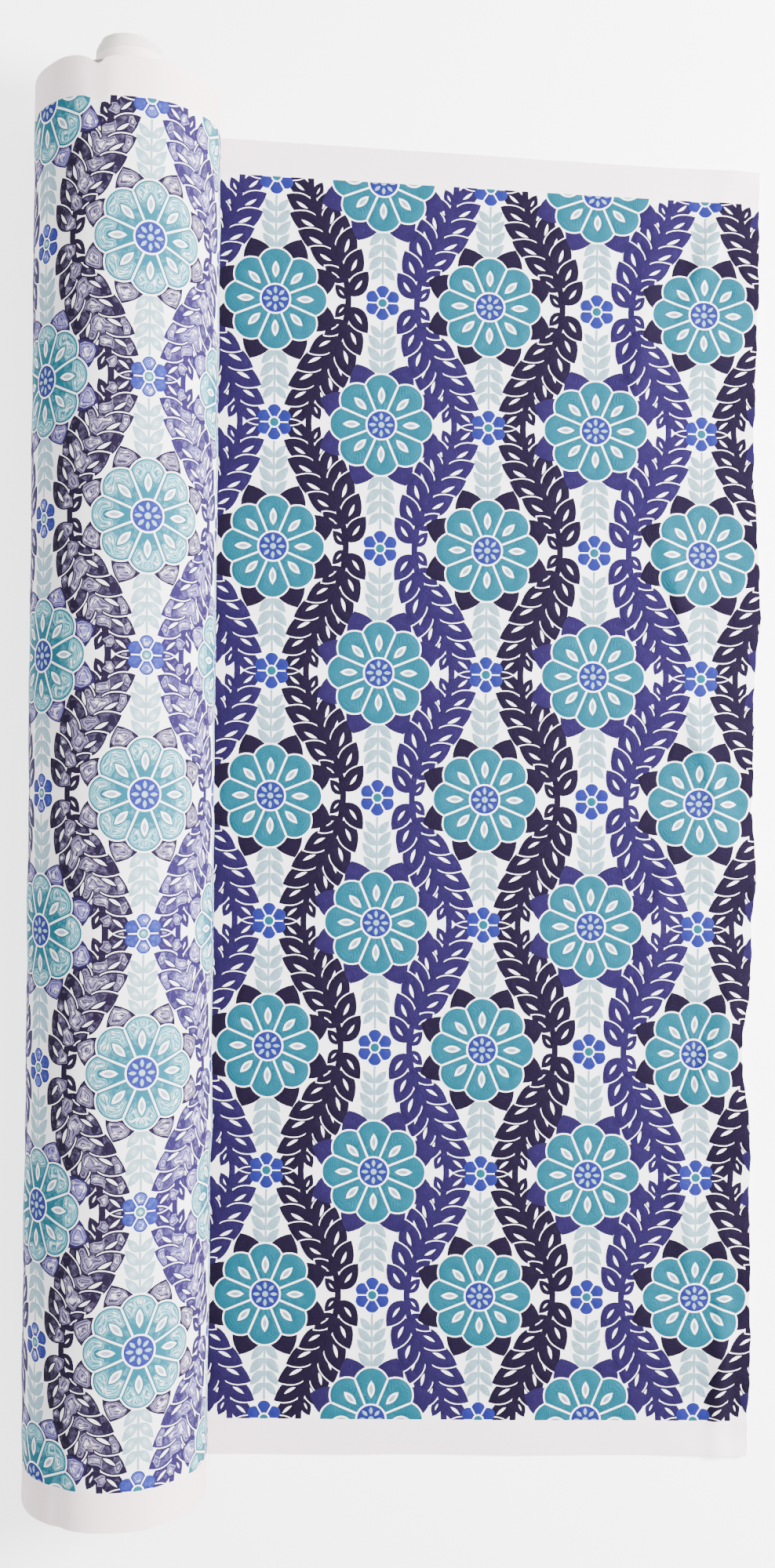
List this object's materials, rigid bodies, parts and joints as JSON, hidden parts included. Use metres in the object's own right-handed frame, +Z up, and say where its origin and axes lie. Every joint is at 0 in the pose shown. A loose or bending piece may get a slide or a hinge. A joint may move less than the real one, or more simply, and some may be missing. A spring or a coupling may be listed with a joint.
{
  "type": "fabric bolt",
  "caption": "Roll of white furnishing cotton with a blue and teal floral embroidery, lying on its side on a cardboard tube, with its free end drawn out flat.",
  "frame": {"origin": "centre of the narrow flattened strip on which the roll rests, straight below the roll's axis", "axes": "+Y along the roll's axis, towards the end where the core has slipped out; +X along the free end of the cloth, away from the roll; +Z up"},
  "size_m": [0.731, 1.421, 0.1777],
  "materials": {
    "cloth_face": "matte",
    "cloth_reverse": "matte",
    "cloth_plain": "matte",
    "cardboard": "matte",
    "tape": "satin"
  },
  "bodies": {
    "roll": {"outer_turn_and_tail_root": "cloth_reverse", "wound_turns_outer": "cloth_plain", "wound_turns_middle": "cloth_plain", "wound_turns_inner": "cloth_plain"},
    "core": {"telescoped_inner_turns": "cloth_plain", "cardboard_tube": "cardboard", "start_tape_1": "tape", "start_tape_2": "tape", "start_tape_3": "tape"},
    "tail_01": {"tail_panel_01": "cloth_face"},
    "tail_02": {"tail_panel_02": "cloth_face"},
    "tail_03": {"tail_panel_03": "cloth_face"},
    "tail_04": {"tail_panel_04": "cloth_face"},
    "tail_05": {"tail_panel_05": "cloth_face"},
    "tail_06": {"tail_panel_06": "cloth_face"},
    "tail_07": {"tail_panel_07": "cloth_face"},
    "tail_08": {"tail_panel_08": "cloth_face"}
  },
  "joints": [
    {"name": "core_slide", "type": "slide", "parent": "roll", "child": "core", "axis": [0, 1, 0], "range_m": [-0.049, 0.06]},
    {"name": "tail_fold_01", "type": "hinge", "parent": "roll", "child": "tail_01", "pos_m": [0.07052, 0, 0.0015], "axis": [0, -1, 0], "range_deg": [0, 40]},
    {"name": "tail_fold_02", "type": "hinge", "parent": "tail_01", "child": "tail_02", "pos_m": [0.11248, 0, 0.0015], "axis": [0, -1, 0], "range_deg": [0, 40]},
    {"name": "tail_fold_03", "type": "hinge", "parent": "tail_02", "child": "tail_03", "pos_m": [0.19357, 0, 0.0015], "axis": [0, -1, 0], "range_deg": [0, 40]},
    {"name": "tail_fold_04", "type": "hinge", "parent": "tail_03", "child": "tail_04", "pos_m": [0.27467, 0, 0.0015], "axis": [0, -1, 0], "range_deg": [0, 40]},
    {"name": "tail_fold_05", "type": "hinge", "parent": "tail_04", "child": "tail_05", "pos_m": [0.35576, 0, 0.0015], "axis": [0, -1, 0], "range_deg": [0, 40]},
    {"name": "tail_fold_06", "type": "hinge", "parent": "tail_05", "child": "tail_06", "pos_m": [0.43685, 0, 0.0015], "axis": [0, -1, 0], "range_deg": [0, 40]},
    {"name": "tail_fold_07", "type": "hinge", "parent": "tail_06", "child": "tail_07", "pos_m": [0.51794, 0, 0.0015], "axis": [0, -1, 0], "range_deg": [0, 40]},
    {"name": "tail_fold_08", "type": "hinge", "parent": "tail_07", "child": "tail_08", "pos_m": [0.59903, 0, 0.0015], "axis": [0, -1, 0], "range_deg": [0, 40]}
  ],
  "couplings": [
    {"joint": "tail_fold_02", "follows": "tail_fold_01", "ratio": 1},
    {"joint": "tail_fold_03", "follows": "tail_fold_01", "ratio": 1},
    {"joint": "tail_fold_04", "follows": "tail_fold_01", "ratio": 1},
    {"joint": "tail_fold_05", "follows": "tail_fold_01", "ratio": 1},
    {"joint": "tail_fold_06", "follows": "tail_fold_01", "ratio": 1},
    {"joint": "tail_fold_07", "follows": "tail_fold_01", "ratio": 1},
    {"joint": "tail_fold_08", "follows": "tail_fold_01", "ratio": 1}
  ]
}
